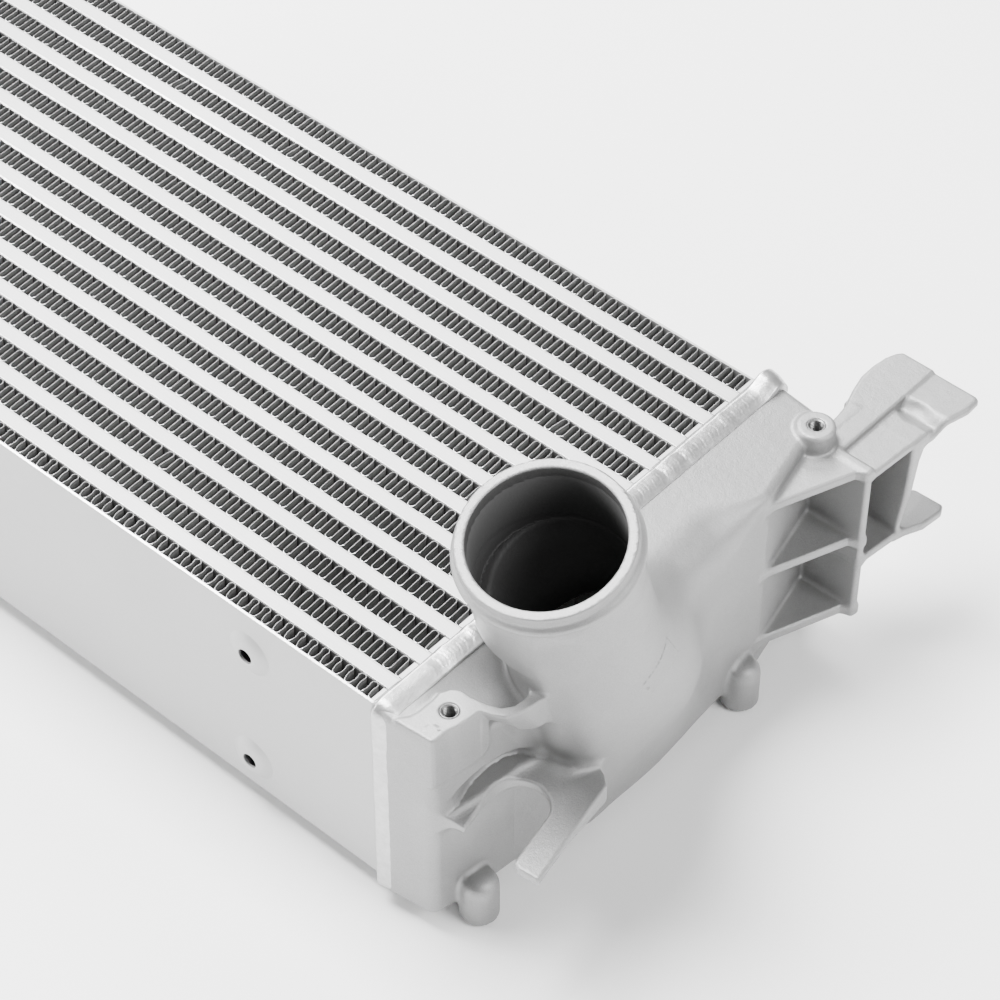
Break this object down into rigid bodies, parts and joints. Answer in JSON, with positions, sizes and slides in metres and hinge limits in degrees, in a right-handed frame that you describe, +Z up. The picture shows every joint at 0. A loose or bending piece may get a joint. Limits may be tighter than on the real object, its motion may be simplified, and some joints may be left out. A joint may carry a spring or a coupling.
{
  "type": "charge air intercooler",
  "caption": "Flat bar and plate charge air intercooler with cast end tanks, tilted hose pipes, a slotted lug and a pocketed bracket.",
  "frame": {"origin": "middle of the bounding box in plan, at the level of the feet of the four pegs", "axes": "+X along the core towards the end with the bracket, +Y from the dimpled side plate towards the bracket arm, +Z up, the way the hose pipes point"},
  "size_m": [0.8394, 0.3924, 0.2495],
  "materials": {
    "cast_aluminium": "sand cast, blasted, fine bright grain",
    "core_aluminium": "rolled sheet and drawn bar, satin",
    "fin_aluminium": "thin rolled foil, bright edges",
    "weld_aluminium": "bright rippled weld bead",
    "insert_steel": "bright steel thread insert"
  },
  "bodies": {
    "root": {"ambient_fin_01": "fin_aluminium", "ambient_fin_02": "fin_aluminium", "ambient_fin_03": "fin_aluminium", "ambient_fin_04": "fin_aluminium", "ambient_fin_05": "fin_aluminium", "ambient_fin_06": "fin_aluminium", "ambient_fin_07": "fin_aluminium", "ambient_fin_08": "fin_aluminium", "ambient_fin_09": "fin_aluminium", "ambient_fin_10": "fin_aluminium", "ambient_fin_11": "fin_aluminium", "ambient_fin_12": "fin_aluminium", "ambient_fin_13": "fin_aluminium", "ambient_fin_14": "fin_aluminium", "charge_tube_01": "core_aluminium", "charge_tube_02": "core_aluminium", "charge_tube_03": "core_aluminium", "charge_tube_04": "core_aluminium", "charge_tube_05": "core_aluminium", "charge_tube_06": "core_aluminium", "charge_tube_07": "core_aluminium", "charge_tube_08": "core_aluminium", "charge_tube_09": "core_aluminium", "charge_tube_10": "core_aluminium", "charge_tube_11": "core_aluminium", "charge_tube_12": "core_aluminium", "charge_tube_13": "core_aluminium", "turbulator_01": "fin_aluminium", "turbulator_02": "fin_aluminium", "turbulator_03": "fin_aluminium", "turbulator_04": "fin_aluminium", "turbulator_05": "fin_aluminium", "turbulator_06": "fin_aluminium", "turbulator_07": "fin_aluminium", "turbulator_08": "fin_aluminium", "turbulator_09": "fin_aluminium", "turbulator_10": "fin_aluminium", "turbulator_11": "fin_aluminium", "turbulator_12": "fin_aluminium", "turbulator_13": "fin_aluminium", "header_bars_right": "core_aluminium", "header_bars_left": "core_aluminium", "side_plate_front": "core_aluminium", "side_plate_rear": "core_aluminium", "end_tank_right": "cast_aluminium", "end_tank_left": "cast_aluminium", "weld_right": "weld_aluminium", "weld_left": "weld_aluminium", "thread_inserts_right": "insert_steel", "thread_inserts_left": "insert_steel"}
  },
  "joints": []
}
